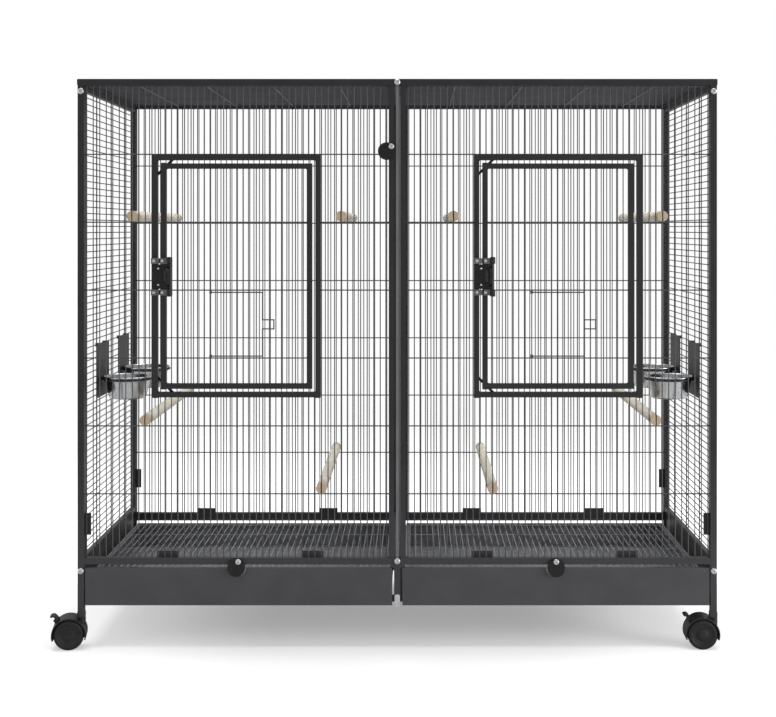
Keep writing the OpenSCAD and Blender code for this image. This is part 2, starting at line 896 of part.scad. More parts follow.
module left_door_wires() {
  color(wire_grey) door_wires(-door_x);
}

module left_latch_plate() {
  color(black) latch_plate(-door_x);
}

module left_latch_bolt() {
  color(black) latch_bolt(-door_x);
}

module left_hatch() {
  color(wire_grey) hatch(-door_x);
}

module right_door_frame() {
  color(graphite) door_frame(door_x);
}

module right_door_wires() {
  color(wire_grey) door_wires(door_x);
}

module right_latch_plate() {
  color(black) latch_plate(door_x);
}

module right_latch_bolt() {
  color(black) latch_bolt(door_x);
}

module right_hatch() {
  color(wire_grey) hatch(door_x);
}

// Folded sheet tray on the right: an open box with an inner rim, behind a taller front.
// A half-round finger notch in the front lets it pass the turn lock that hangs there.
module tray(turn) {
  x0 = tray_inset + pan_in;
  w = tray_out_x - x0;
  y0 = fascia_y + sheet;
  l = tray_back - y0;
  front_w = tray_out_x + 1 - tray_inset;
  difference() {
    translate([x0, y0, tray_z])
      cube([w, l, tray_h]);
    translate([x0 + sheet, y0 + sheet, tray_z + sheet])
      cube([w - 2 * sheet, l - 2 * sheet, tray_h - 2 * sheet]);
    translate([x0 + tray_rim, y0 + tray_rim, tray_z + sheet])
      cube([w - 2 * tray_rim, l - 2 * tray_rim, tray_h]);
  }
  difference() {
    translate([tray_inset, fascia_y, fascia_z])
      cube([front_w, tray_rim, fascia_h]);
    translate([tray_inset - 1, fascia_y + sheet, fascia_z - 1])
      cube([front_w + 2, tray_rim, fascia_h - sheet + 1]);
    hole_y(lock_x + lock_offset * sin(turn), fascia_y, rail_mid - lock_offset * cos(turn),
           2 * (lock_r + notch_gap), 4 * tray_rim);
  }
}

module left_tray() {
  color(tray_grey) mirror([1, 0, 0])
    tray(left_lock_turn);
}

module right_tray() {
  color(tray_grey) tray(0);
}

// Floor grate on the right, which lies on the tray's rim
module grate() {
  b = grate_edge;
  x0 = tray_inset + pan_in + grate_in;
  x1 = tray_out_x - grate_in;
  y0 = side_front + 1;
  y1 = tray_back - grate_in;
  n = floor((x1 - x0 - 2 * b) / pitch - 0.3);
  bar_z = grate_z + b - wire_d / 2;
  for (x = [x0, x1 - b])
    translate([x, y0, grate_z])
      cube([b, y1 - y0, b]);
  for (y = [y0, y1 - b])
    translate([x0 + b, y, grate_z])
      cube([x1 - x0 - 2 * b, b, b]);
  for (i = [0 : n])
    wire_y(y0 + b, y1 - b, (x0 + x1) / 2 + (i - n / 2) * pitch, bar_z, wire_d);
  for (i = [-1 : 1])
    wire_x(x0 + b, x1 - b, (y0 + y1) / 2 + i * cross_pitch, bar_z - wire_d - weld_gap, wire_d);
}

module left_grate() {
  color(wire_grey) mirror([1, 0, 0])
    grate();
}

module right_grate() {
  color(wire_grey) grate();
}

// Off-centre disc that turns on its screw; it hangs down when let go
module turn_lock(x, face_y, z, turn) {
  color(black) translate([x, face_y - touch, z])
    rotate([90, turn, 0])
      difference() {
        translate([0, -lock_offset, 0])
          cylinder(r = lock_r, h = lock_t);
        translate([0, 0, -1])
          cylinder(d = screw_d + lock_fit, h = lock_t + 2);
      }
}

module left_tray_lock() {
  turn_lock(-lock_x, fascia_y, rail_mid, left_lock_turn);
}

module right_tray_lock() {
  turn_lock(lock_x, fascia_y, rail_mid, 0);
}

module divider_lock() {
  turn_lock(-centre_x, tube_front, divider_lock_z, divider_lock_turn);
}

module lock_screws() {
  out = lock_t + 2 * touch;
  color(zinc) {
    for (s = [-1, 1])
      translate([s * lock_x, fascia_y - out, rail_mid])
        domed_bolt(screw_d, screw_head_d, out + tube / 2);
    translate([-centre_x, tube_front - out, divider_lock_z])
      domed_bolt(screw_d, screw_head_d, out + light_tube / 2);
  }
}

// Divider: a rod frame in the slot between the compartments
module divider_frame() {
  d = divider_rod;
  color(graphite) {
    for (y = [divider_front, divider_back - d])
      translate([-d / 2, y, divider_z])
        cube([d, d, divider_top - divider_z]);
    for (z = [divider_z, divider_top - d])
      translate([-d / 2, divider_front + d + weld_gap, z])
        cube([d, divider_back - divider_front - 2 * d - 2 * weld_gap, d]);
  }
}

module divider_wires() {
  d = divider_rod;
  y0 = divider_front + d;
  y1 = divider_back - d;
  n = floor((divider_top - divider_z - 2 * d) / pitch - 0.3);
  color(wire_grey) {
    for (i = [0 : n])
      wire_y(y0, y1, 0, (divider_z + divider_top) / 2 + (i - n / 2) * pitch, wire_d);
    for (i = [-1 : 1])
      wire_z(divider_z + d, divider_top - d, layer, cross_y(i), cross_d);
  }
}

// Caster places: front left, front right, rear left, rear right
module at_caster(i) {
  translate([(i % 2 == 0 ? -1 : 1) * leg_x, i < 2 ? front_y : back_y, 0])
    rotate(caster_yaw[i])
      children();
}

// Coordinates at a caster's axle: the wheel's plane is X and Y, and Z runs along the axle
module at_axle() {
  translate([trail, 0, wheel_r])
    rotate([90, 0, 0])
      children();
}

// Hood over twin wheels, with the swivel boss and stem, the web between the wheels and the brake's lugs
module caster(i) {
  color(black) at_caster(i) {
    difference() {
      union() {
        at_axle()
          translate([0, 0, -hood_half_w])
            linear_extrude(2 * hood_half_w)
              arch(hood_r);
        translate([0, 0, caster_h - boss_h])
          cylinder(r = boss_r, h = boss_h);
      }
      at_axle()
        translate([0, 0, -2 * hood_half_w])
          cylinder(r = wheel_r + hood_gap, h = 4 * hood_half_w);
      translate([0, 0, caster_h])
        cylinder(r = flat_r, h = hood_r);
    }
    at_axle() {
      difference() {
        translate([0, 0, -web_t / 2])
          linear_extrude(web_t)
            arch(wheel_r + hood_gap + hood_t / 2);
        translate([0, 0, -web_t])
          cylinder(d = axle_d + run_fit, h = 2 * web_t);
      }
      lever_lugs();
    }
    translate([0, 0, caster_h - 1])
      cylinder(d = stem_d, h = stem_in + 1);
  }
}

// A disc round the axle, cut off a little below it
module arch(r) {
  difference() {
    circle(r = r);
    translate([-2 * r, -2 * r - hood_low])
      square([4 * r, 2 * r]);
  }
}

// Two lugs and the pin that the brake lever turns on
module lever_lugs() {
  lug_t = 2.5;
  gap = 0.5;
  rotate(lever_angle) {
    for (z = [-lever_w / 2 - gap - lug_t, lever_w / 2 + gap])
      translate([hood_r - 1, -lever_hub, z])
        cube([2 * lever_hub + 1.5, 2 * lever_hub, lug_t]);
    translate([lever_r, 0, -lever_w / 2 - 2 * gap])
      cylinder(d = lever_pin, h = lever_w + 4 * gap);
  }
}

// Two wheels on their axle
module wheels(i) {
  r = wheel_r;
  w = wheel_w;
  face = r - wheel_rim;
  color(black) at_caster(i)
    at_axle() {
      for (s = [0, 1])
        mirror([0, 0, s])
          translate([0, 0, wheel_gap])
            rotate_extrude()
              polygon([
                [0, 0], [r, 0], [r, w - wheel_edge], [r - wheel_edge, w],
                [face, w], [face - wheel_recess / 2, w - wheel_recess], [0, w - wheel_recess]
              ]);
      translate([0, 0, -wheel_gap - 1])
        cylinder(d = axle_d, h = 2 * wheel_gap + 2);
    }
}

// Brake lever: a hub on the lugs' pin, with a foot tab that stands up and curls outwards
module brake(i) {
  color(black) at_caster(i)
    at_axle()
      translate([lever_r * cos(lever_angle), lever_r * sin(lever_angle), -lever_w / 2])
        linear_extrude(lever_w)
          difference() {
            union() {
              circle(r = lever_hub);
              translate([lever_curl, lever_hub / 2])
                curl();
            }
            circle(d = lever_pin + lock_fit);
          }
}

// Arc of the foot tab, from straight over the hub round to its tip
module curl() {
  out = lever_curl + lever_t / 2;
  difference() {
    circle(r = out);
    circle(r = lever_curl - lever_t / 2);
    translate([-2 * out, -2 * out])
      square([4 * out, 2 * out]);
    rotate(lever_end - 90)
      square(2 * out);
  }
}

module front_left_caster() {
  caster(0);
}

module front_left_wheels() {
  wheels(0);
}

module front_left_brake() {
  brake(0);
}

module front_right_caster() {
  caster(1);
}

module front_right_wheels() {
  wheels(1);
}

module front_right_brake() {
  brake(1);
}

module rear_left_caster() {
  caster(2);
}

module rear_left_wheels() {
  wheels(2);
}

module rear_left_brake() {
  brake(2);
}

module rear_right_caster() {
  caster(3);
}

module rear_right_wheels() {
  wheels(3);
}

module rear_right_brake() {
  brake(3);
}

front_left_frame();
front_left_wires();
front_right_frame();
front_right_wires();
back_frame();
back_wires();
left_side_frame();
left_side_wires();
right_side_frame();
right_side_wires();
roof_frame();
roof_wires();
legs();
tray_runners();
centre_beams();
centre_channel();
frame_bolts();
seed_guard_clips();
left_perches();
right_perches();
left_cup_holders();
right_cup_holders();
left_front_cup();
left_rear_cup();
right_front_cup();
right_rear_cup();
door_pins();
latch_keepers();
left_door_frame();
left_door_wires();
left_latch_plate();
left_latch_bolt();
left_hatch();
right_door_frame();
right_door_wires();
right_latch_plate();
right_latch_bolt();
right_hatch();
left_tray();
left_grate();
right_tray();
right_grate();
left_tray_lock();
right_tray_lock();
divider_lock();
lock_screws();
divider_frame();
divider_wires();
front_left_caster();
front_left_wheels();
front_left_brake();
front_right_caster();
front_right_wheels();
front_right_brake();
rear_left_caster();
rear_left_wheels();
rear_left_brake();
rear_right_caster();
rear_right_wheels();
rear_right_brake();
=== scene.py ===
# %% [markdown]
# A double flight cage for small birds, dressed for a studio photograph.
# The solids arrive packed as a fixed frame: every tube, wire, tray and caster is already in its
# place, in metres. This lesson gives each of them the surface it has on the real cage, and adds
# the small things that a workshop leaves behind, such as weld beads, end plugs and rolled rims.

# %% Load the frame
import json
import math

import bmesh
import bpy
from mathutils import Matrix, Vector


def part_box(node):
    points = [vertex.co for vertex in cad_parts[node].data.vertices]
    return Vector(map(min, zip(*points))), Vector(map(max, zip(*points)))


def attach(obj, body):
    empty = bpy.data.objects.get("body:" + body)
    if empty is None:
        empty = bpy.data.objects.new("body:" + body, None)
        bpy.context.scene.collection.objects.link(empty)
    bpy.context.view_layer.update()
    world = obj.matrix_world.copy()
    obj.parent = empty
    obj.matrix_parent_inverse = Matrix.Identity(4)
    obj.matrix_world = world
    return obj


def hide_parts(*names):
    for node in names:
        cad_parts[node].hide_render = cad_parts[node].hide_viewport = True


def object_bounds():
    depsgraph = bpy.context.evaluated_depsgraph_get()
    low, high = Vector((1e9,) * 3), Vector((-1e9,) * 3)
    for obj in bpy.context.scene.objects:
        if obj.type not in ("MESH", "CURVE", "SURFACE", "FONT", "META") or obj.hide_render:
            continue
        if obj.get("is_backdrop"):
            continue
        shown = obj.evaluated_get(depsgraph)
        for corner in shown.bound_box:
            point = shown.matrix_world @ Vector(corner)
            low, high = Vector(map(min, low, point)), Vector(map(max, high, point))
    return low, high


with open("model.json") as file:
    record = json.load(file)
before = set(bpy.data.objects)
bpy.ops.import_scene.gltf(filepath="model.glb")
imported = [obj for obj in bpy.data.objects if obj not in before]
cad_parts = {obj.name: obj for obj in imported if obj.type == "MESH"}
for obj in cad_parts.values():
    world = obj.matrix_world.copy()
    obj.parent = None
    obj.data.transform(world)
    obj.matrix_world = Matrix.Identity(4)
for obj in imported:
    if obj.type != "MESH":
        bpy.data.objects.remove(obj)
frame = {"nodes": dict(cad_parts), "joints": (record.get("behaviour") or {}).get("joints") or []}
nodes = frame["nodes"]
joints = {joint["name"]: joint for joint in frame["joints"]}
cad_low, cad_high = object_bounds()

# %% [markdown]
# The photograph was taken from straight in front, a little above the middle of the cage, so the
# upright tubes stay upright. A view camera does that by sliding its lens instead of tilting.
# Blender has the same control: shift_x and shift_y. The vanishing point of the tubes that run
# front to back gives both of them, and the ratio of the back panel to the front one gives the
# distance.

# %% Camera
IMAGE_W, IMAGE_H = 776, 717
VANISH_X, VANISH_Y = 415, 229
MM_PER_PX = 1.881
FLOOR_PY = 647
CENTRE_PX = 397.3
FOCAL_PX = 1360
FRONT_Y = -0.240
SENSOR_MM = 36

camera_data = bpy.data.cameras.new("camera")
camera_data.sensor_width = SENSOR_MM
camera_data.lens = FOCAL_PX / IMAGE_W * SENSOR_MM
camera_data.shift_x = (IMAGE_W / 2 - VANISH_X) / IMAGE_W
camera_data.shift_y = (VANISH_Y - IMAGE_H / 2) / IMAGE_W
camera = bpy.data.objects.new("camera", camera_data)
camera.location = (
    (VANISH_X - CENTRE_PX) * MM_PER_PX / 1000,
    FRONT_Y - FOCAL_PX * MM_PER_PX / 1000,
    (FLOOR_PY - VANISH_Y) * MM_PER_PX / 1000,
)
camera.rotation_euler = (math.radians(90), 0, 0)
bpy.context.scene.collection.objects.link(camera)
bpy.context.scene.camera = camera
bpy.context.scene.view_settings.view_transform = "Standard"
print("lens", round(camera_data.lens, 1), "camera", camera.location)

# %% [markdown]
# A few small helpers serve every finish. The first turns a colour as a designer writes it, an
# sRGB hex value, into the linear numbers that a shader wants. The second adds one shader node,
# sets its values and plugs its inputs, so that a material reads from top to bottom.


# %% Helpers for finishes
def linear(hex_colour):
    """sRGB hex colour to linear RGBA."""
    channels = [int(hex_colour[i : i + 2], 16) / 255 for i in (1, 3, 5)]
    return [c / 12.92 if c <= 0.04045 else ((c + 0.055) / 1.055) ** 2.4 for c in channels] + [1]


def add(tree, kind, inputs=None, stops=(), **settings):
    """Adds a node. inputs maps socket names to values or to other nodes' output sockets, and
    stops are the places and hex colours along a colour ramp."""
    made = tree.nodes.new(kind)
    for name, value in settings.items():
        setattr(made, name, value)
    for name, value in (inputs or {}).items():
        if isinstance(value, bpy.types.NodeSocket):
            tree.links.new(value, made.inputs[name])
        else:
            made.inputs[name].default_value = value
    for number, (position, colour) in enumerate(stops):
        made.color_ramp.elements[number].position = position
        made.color_ramp.elements[number].color = linear(colour)
    return made


def new_material(name):
    """An empty material with its Principled shader and the object's own coordinates."""
    material = bpy.data.materials.new(name)
    material.use_nodes = True
    tree = material.node_tree
    shader = next(n for n in tree.nodes if n.type == "BSDF_PRINCIPLED")
    place = add(tree, "ShaderNodeTexCoord").outputs["Object"]
    return material, tree, shader, place


def per_mm(size):
    """Texture scale that makes one feature this many millimetres wide."""
    return 1000 / size


print("graphite in linear light", [round(c, 3) for c in linear("#39393b")])

# %% [markdown]
# Powder coat is a plastic powder that is sprayed on dry and melted in an oven. It flows out into
# a skin with a faint orange peel, a few tenths of a millimetre across, and it is a little thinner
# on the edges. The eye reads a dark satin colour with soft, slightly broken highlights. The peel
# is drawn about 1.5 mm wide, coarser than the real one, because it would not show otherwise. The
# tubes are drawn a little paler towards the floor.


# %% Powder-coated steel
# Heights in metres between which the tube coat turns paler towards the floor.
PALER_FROM_Z, PALEST_AT_Z = 0.36, 0.15
CLOUD_MM = 60
# The depth of a bump is in metres, as the model is.
SKIN_DEEP = 0.00005
ROUGH_SPREAD = 0.06


def coat(tree, shader, place, dark, light, rough, sheen, peel_mm):
    """Baked coat on a shader; sheen is the strength of its clear reflection. Returns its colour."""
    cloud = add(tree, "ShaderNodeTexNoise", {"Vector": place, "Scale": per_mm(CLOUD_MM), "Detail": 3.0})
    shades = [(0.35, dark), (0.7, light)]
    ramp = add(tree, "ShaderNodeValToRGB", {"Fac": cloud.outputs["Fac"]}, shades)
    colour = ramp.outputs["Color"]
    tree.links.new(colour, shader.inputs["Base Color"])
    peel = add(tree, "ShaderNodeTexNoise", {"Vector": place, "Scale": per_mm(peel_mm), "Detail": 2.0})
    skin = {"Height": peel.outputs["Fac"], "Strength": 0.35, "Distance": SKIN_DEEP}
    tree.links.new(add(tree, "ShaderNodeBump", skin).outputs["Normal"], shader.inputs["Normal"])
    rub = {"Value": peel.outputs["Fac"]}
    rub |= {"To Min": rough - ROUGH_SPREAD, "To Max": rough + ROUGH_SPREAD}
    tree.links.new(add(tree, "ShaderNodeMapRange", rub).outputs["Result"], shader.inputs["Roughness"])
    shader.inputs["Specular IOR Level"].default_value = sheen
    return colour


def powder_coat(name, dark, light, rough, near_floor=None):
    """Coat on tube or wire; the last argument is the colour it fades to near the floor."""
    material, tree, shader, place = new_material(name)
    clean = coat(tree, shader, place, dark, light, rough, sheen=0.25, peel_mm=1.5)
    if near_floor:
        # Below a set height the coat is mixed towards a paler colour, palest near the floor.
        z = add(tree, "ShaderNodeSeparateXYZ", {"Vector": place}).outputs["Z"]
        by_height = {"Value": z, "From Min": PALER_FROM_Z, "From Max": PALEST_AT_Z}
        low_down = add(tree, "ShaderNodeMapRange", by_height).outputs["Result"]
        tone_blend = {"Factor": low_down, "A": clean, "B": linear(near_floor)}
        mixed = add(tree, "ShaderNodeMix", tone_blend, data_type="RGBA")
        tree.links.new(mixed.outputs["Result"], shader.inputs["Base Color"])
    return material


tube_coat = powder_coat("graphite_powder_coat_on_tube", "#252527", "#2a2a2c", 0.44, near_floor="#38383a")
# The wires are painted paler than the tubes, which wear the same coat: painted sheen and glare along
# the thin wires.
wire_coat_with_painted_sheen = powder_coat("graphite_powder_coat_on_wire_with_painted_sheen", "#47474a", "#505053", 0.45)
# The grate is painted far paler than the tubes, which wear the same coat: painted light falling on it
# from above through the roof.
grate_coat_with_painted_light = powder_coat("graphite_powder_coat_on_grate_with_painted_light", "#858587", "#949496", 0.45)
# The divider is painted paler than the tubes, which wear the same coat: a painted highlight along its
# round rods.
divider_coat_with_painted_highlight = powder_coat("graphite_powder_coat_on_divider_with_painted_highlight", "#636366", "#6e6e71", 0.4)
print("powder coats", tube_coat.name, wire_coat_with_painted_sheen.name, grate_coat_with_painted_light.name, divider_coat_with_painted_highlight.name)

# %% [markdown]
# The trays are folded from sheet. Their fronts wear the same baked coat, a shade lighter than the
# tubes, but the pan behind is left as galvanised sheet, whose zinc froze in flat crystals about
# 12 mm across, so it is paler and mottled. One material holds both: the place along Y decides.


# %% Tray sheet
PAN_FROM_Y = -0.2366
SPANGLE_MM = 12


def coated_tray_sheet(name):
    """Baked coat on the front of a tray, bare galvanised sheet behind it."""
    material, tree, shader, place = new_material(name)
    front = coat(tree, shader, place, "#404043", "#464649", 0.4, sheen=0.3, peel_mm=2.0)
    spangle = add(tree, "ShaderNodeTexVoronoi", {"Vector": place, "Scale": per_mm(SPANGLE_MM)})
    zincs = [(0.2, "#77787a"), (0.8, "#8b8c8e")]
    ramp = add(tree, "ShaderNodeValToRGB", {"Fac": spangle.outputs["Color"]}, zincs)
    pan = ramp.outputs["Color"]
    y = add(tree, "ShaderNodeSeparateXYZ", {"Vector": place}).outputs["Y"]
    inside = add(tree, "ShaderNodeMath", {0: y, 1: PAN_FROM_Y}, operation="GREATER_THAN")
    sheets = {"Factor": inside.outputs["Value"], "A": front, "B": pan}
    mixed = add(tree, "ShaderNodeMix", sheets, data_type="RGBA")
    tree.links.new(mixed.outputs["Result"], shader.inputs["Base Color"])
    return material


tray_sheet = coated_tray_sheet("dark_powder_coat_on_galvanised_sheet")
print("sheet", tray_sheet.name)

# %% [markdown]
# The bolts, screws and pins are steel that was electroplated with zinc: a cool bright grey, a
# little cloudy, because the crystals of the plating scatter the light. The cups are pressed and
# spun stainless steel, polished on a turning wheel, so the finest lines run round them.


# %% Plated and stainless steel
PLATING_MM = 2.5
SPIN_LINE_MM = 1
ROUND_THE_CUP = (0.02, 0.02, 1.0)
GROOVE_DEEP = 0.00005


def zinc_plated_steel(name):
    """Cloudy bright plating, darker and duller towards the edge of each crystal."""
    material, tree, shader, place = new_material(name)
    plating = {"Vector": place, "Scale": per_mm(PLATING_MM)}
    crystals = add(tree, "ShaderNodeTexVoronoi", plating).outputs["Distance"]
    greys = [(0.0, "#cfd1d3"), (0.9, "#b2b5b8")]
    ramp = add(tree, "ShaderNodeValToRGB", {"Fac": crystals}, greys)
    tree.links.new(ramp.outputs["Color"], shader.inputs["Base Color"])
    dull = {"Value": crystals, "To Min": 0.34, "To Max": 0.5}
    tree.links.new(add(tree, "ShaderNodeMapRange", dull).outputs["Result"], shader.inputs["Roughness"])
    shader.inputs["Metallic"].default_value = 1.0
    return material


def spun_stainless_steel(name):
    """Polished steel with fine level lines, which a squashed noise draws."""
    material, tree, shader, place = new_material(name)
    squash = {"Vector": place, "Scale": ROUND_THE_CUP}
    flat = add(tree, "ShaderNodeMapping", squash).outputs["Vector"]
    marks = {"Vector": flat, "Scale": per_mm(SPIN_LINE_MM), "Detail": 3.0}
    lines = add(tree, "ShaderNodeTexNoise", marks).outputs["Fac"]
    dull = {"Value": lines, "To Min": 0.14, "To Max": 0.32}
    tree.links.new(add(tree, "ShaderNodeMapRange", dull).outputs["Result"], shader.inputs["Roughness"])
    groove = {"Height": lines, "Strength": 0.15, "Distance": GROOVE_DEEP}
    tree.links.new(add(tree, "ShaderNodeBump", groove).outputs["Normal"], shader.inputs["Normal"])
    shader.inputs["Base Color"].default_value = linear("#c1c3c5")
    shader.inputs["Metallic"].default_value = 1.0
    return material


zinc = zinc_plated_steel("bright_zinc_plated_steel")
cup_steel = spun_stainless_steel("spun_stainless_steel")
print("metals", zinc.name, cup_steel.name)

# %% [markdown]
# The perches are plain turned hardwood, pale and dry, with the grain along their length. The
# ends that grip the wires are browner, where hands and feet have rubbed them and the end grain
# drank more. Stretching a noise along Y draws the grain; the distance from the middle of the
# cage says where an end is.


# %% Perch wood
GRAIN_MM = 3
GRAIN_DEEP = 0.0003
ALONG_THE_PERCH = (1.0, 0.06, 1.0)
STAIN_FROM_Y, STAIN_FULL_Y = 0.205, 0.246


def turned_hardwood(name):
    """Pale wood with its grain along Y and browner ends."""
    material, tree, shader, place = new_material(name)
    lengthwise = {"Vector": place, "Scale": ALONG_THE_PERCH}
    stretch = add(tree, "ShaderNodeMapping", lengthwise).outputs["Vector"]
    fibres = {"Vector": stretch, "Scale": per_mm(GRAIN_MM), "Detail": 6.0, "Distortion": 0.6}
    grain = add(tree, "ShaderNodeTexNoise", fibres).outputs["Fac"]
    woods = [(0.3, "#cdc3b0"), (0.72, "#ebe4d7")]
    pale = add(tree, "ShaderNodeValToRGB", {"Fac": grain}, woods).outputs["Color"]
    y = add(tree, "ShaderNodeSeparateXYZ", {"Vector": place}).outputs["Y"]
    along = add(tree, "ShaderNodeMath", {0: y}, operation="ABSOLUTE").outputs["Value"]
    near_end = {"Value": along, "From Min": STAIN_FROM_Y, "From Max": STAIN_FULL_Y}
    rubbed = add(tree, "ShaderNodeMapRange", near_end).outputs["Result"]
    stain = {"Factor": rubbed, "A": pale, "B": linear("#c9beaf")}
    stained = add(tree, "ShaderNodeMix", stain, data_type="RGBA", blend_type="MULTIPLY")
    tree.links.new(stained.outputs["Result"], shader.inputs["Base Color"])
    ridges = {"Height": grain, "Strength": 0.4, "Distance": GRAIN_DEEP}
    tree.links.new(add(tree, "ShaderNodeBump", ridges).outputs["Normal"], shader.inputs["Normal"])
    shader.inputs["Roughness"].default_value = 0.62
    return material


perch_wood = turned_hardwood("turned_pale_hardwood")
print("wood", perch_wood.name)

# %% [markdown]
# The latches, the turn locks and the casters are moulded plastic. Nylon and ABS come out of a
# lightly etched mould, so they are a deep grey rather than black, with a dull sheen. The tread of
# a wheel is a softer, duller rubbery plastic that picks up a little dust.


# %% Moulded plastics
SMUDGE_MM = 18
ETCH_DEEP = 0.00006


def moulded_plastic(name, colour, worn, rough, etch_mm=0.8):
    """Plastic from an etched mould; worn is its colour where dust and fingers have been."""
    material, tree, shader, place = new_material(name)
    smudge = {"Vector": place, "Scale": per_mm(SMUDGE_MM), "Detail": 4.0}
    tone_blend = add(tree, "ShaderNodeTexNoise", smudge).outputs["Fac"]
    ramp = add(tree, "ShaderNodeValToRGB", {"Fac": tone_blend}, [(0.45, colour), (0.8, worn)])
    tree.links.new(ramp.outputs["Color"], shader.inputs["Base Color"])
    etch = add(tree, "ShaderNodeTexNoise", {"Vector": place, "Scale": per_mm(etch_mm), "Detail": 2.0})
    pits = {"Height": etch.outputs["Fac"], "Strength": 0.4, "Distance": ETCH_DEEP}
    tree.links.new(add(tree, "ShaderNodeBump", pits).outputs["Normal"], shader.inputs["Normal"])
    shader.inputs["Roughness"].default_value = rough
    shader.inputs["Specular IOR Level"].default_value = 0.3
    return material


black_plastic = moulded_plastic("black_moulded_abs", "#111112", "#1a1a1b", 0.42)
grey_plastic = moulded_plastic("grey_moulded_abs", "#5a5a5c", "#666668", 0.5)
caster_nylon = moulded_plastic("black_moulded_nylon", "#1c1c1d", "#262627", 0.48)
tread = moulded_plastic("black_moulded_tread", "#1a1a1b", "#272727", 0.6, etch_mm=1.2)
print("plastics", black_plastic.name, grey_plastic.name, caster_nylon.name, tread.name)

# %% [markdown]
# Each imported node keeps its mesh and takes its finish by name. The words in the names say what a
# piece is, so a short table from word to finish is enough; the first word that fits wins.

# %% Finishes by name
FINISHES = [
    ("divider_frame", divider_coat_with_painted_highlight), ("divider_wires", divider_coat_with_painted_highlight), ("_wires", wire_coat_with_painted_sheen),
    ("hatch", wire_coat_with_painted_sheen), ("grate", grate_coat_with_painted_light), ("perches", perch_wood), ("_cup_holders", tube_coat),
    ("_cup", cup_steel), ("frame_bolts", zinc), ("lock_screws", zinc), ("door_pins", zinc),
    ("centre_channel", zinc), ("keepers", grey_plastic), ("latch_plate", grey_plastic),
    ("latch", black_plastic), ("_lock", black_plastic), ("_wheels", tread), ("_caster", caster_nylon),
    ("_brake", caster_nylon), ("_tray", tray_sheet), ("", tube_coat),
]
for name, node in nodes.items():
    finish = next(material for word, material in FINISHES if word in name)
    node.data.materials.clear()
    node.data.materials.append(finish)
print("finishes given to", len(nodes), "nodes")

# %% [markdown]
# A real square tube has rounded corners, about a millimetre in radius, and they catch a thin line
# of light that makes it read as metal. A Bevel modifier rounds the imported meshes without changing
# them. Only edges that turn by more than 40 degrees are taken, so round wires stay as they are.

# %% Rounded corners
BEVELS = {
    "_frame": 0.0009, "legs": 0.0009, "_caster": 0.0008, "_brake": 0.0006, "_latch": 0.0008,
    "keepers": 0.0008, "_lock": 0.0008, "perches": 0.0012, "_tray": 0.0003, "holders": 0.0005,
}
CORNER_TURN = math.radians(40)
rounded = []
for name, node in nodes.items():
    width = next((w for word, w in BEVELS.items() if word in name), None)
    if width:
        bevel = node.modifiers.new("rounded_corners", "BEVEL")
        bevel.width = width
        bevel.segments = 2
        bevel.limit_method = "ANGLE"
        bevel.angle_limit = CORNER_TURN
        bevel.harden_normals = True
        rounded.append(name)
print("rounded", len(rounded), "nodes")

# %% [markdown]
# Most of the small fittings are round: they were turned, spun or moulded. One function turns a
# profile about an axis, as a lathe does. A profile is a list of rings, each a radius and a height
# in millimetres, and a ring may also be square or six-sided, which makes plugs and key sockets.

# %% Turned forms
MM = 0.001
SIXTH = math.pi / 3
CREASE = math.radians(35)


def six_sided(angle):
    """Reach of a six-sided ring at an angle, where a corner's reach is 1."""
    return math.cos(SIXTH / 2) / math.cos((angle + SIXTH / 2) % SIXTH - SIXTH / 2)


SHAPES = {
    "round": lambda angle: 1.0,
    "square": lambda angle: (math.cos(angle) ** 8 + math.sin(angle) ** 8) ** -0.125,
    "hex": six_sided,
}


def spin(form, profile, centre, axis, segments=32, shape="round"):
    """Adds a turned surface to form. A third item in a ring gives that ring its own shape."""
    turn = Vector(axis).to_track_quat("Z", "X").to_matrix().to_4x4()
    place = Matrix.Translation(centre) @ turn
    rings = []
    for radius, height, *own_shape in profile:
        swell = SHAPES[own_shape[0] if own_shape else shape]
        angles = [2 * math.pi * k / segments for k in range(segments)] if radius else [0]
        points = [Vector((math.cos(a), math.sin(a), 0)) * radius * swell(a) for a in angles]
        rings.append([form.verts.new(place @ ((p + Vector((0, 0, height))) * MM)) for p in points])
    for low, high in zip(rings, rings[1:]):
        for k in range(segments):
            after = k + 1
            corners = [low[k % len(low)], low[after % len(low)]]
            corners += [high[after % len(high)], high[k % len(high)]]
            form.faces.new(list(dict.fromkeys(corners)))


def arc(radius, height, bend, start, end, steps=6):
    """Rings along an arc of a profile; angles in degrees from straight outwards."""
    angles = [math.radians(start + (end - start) * k / steps) for k in range(steps + 1)]
    return [(radius + bend * math.cos(a), height + bend * math.sin(a)) for a in angles]


def make_piece(name, form, body, finish, slot, *replaced):
    """Makes a smooth-shaded piece of a form and lets it ride on a body."""
    bmesh.ops.recalc_face_normals(form, faces=form.faces)
    mesh = bpy.data.meshes.new(name)
    form.to_mesh(mesh)
    form.free()
    mesh.shade_smooth()
    mesh.set_sharp_from_angle(angle=CREASE)
    mesh.materials.append(finish)
    piece = bpy.data.objects.new(name, mesh)
    bpy.context.scene.collection.objects.link(piece)
    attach(piece, body)
    if replaced:
        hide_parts(*replaced)


print("ring shapes", list(SHAPES))

# %% [markdown]
# The cups were spun from one disc of sheet. The bottom is pushed up a little so that it stands on
# a ring, the wall flares, and the edge is rolled outwards into a bead, so that it isn't sharp.

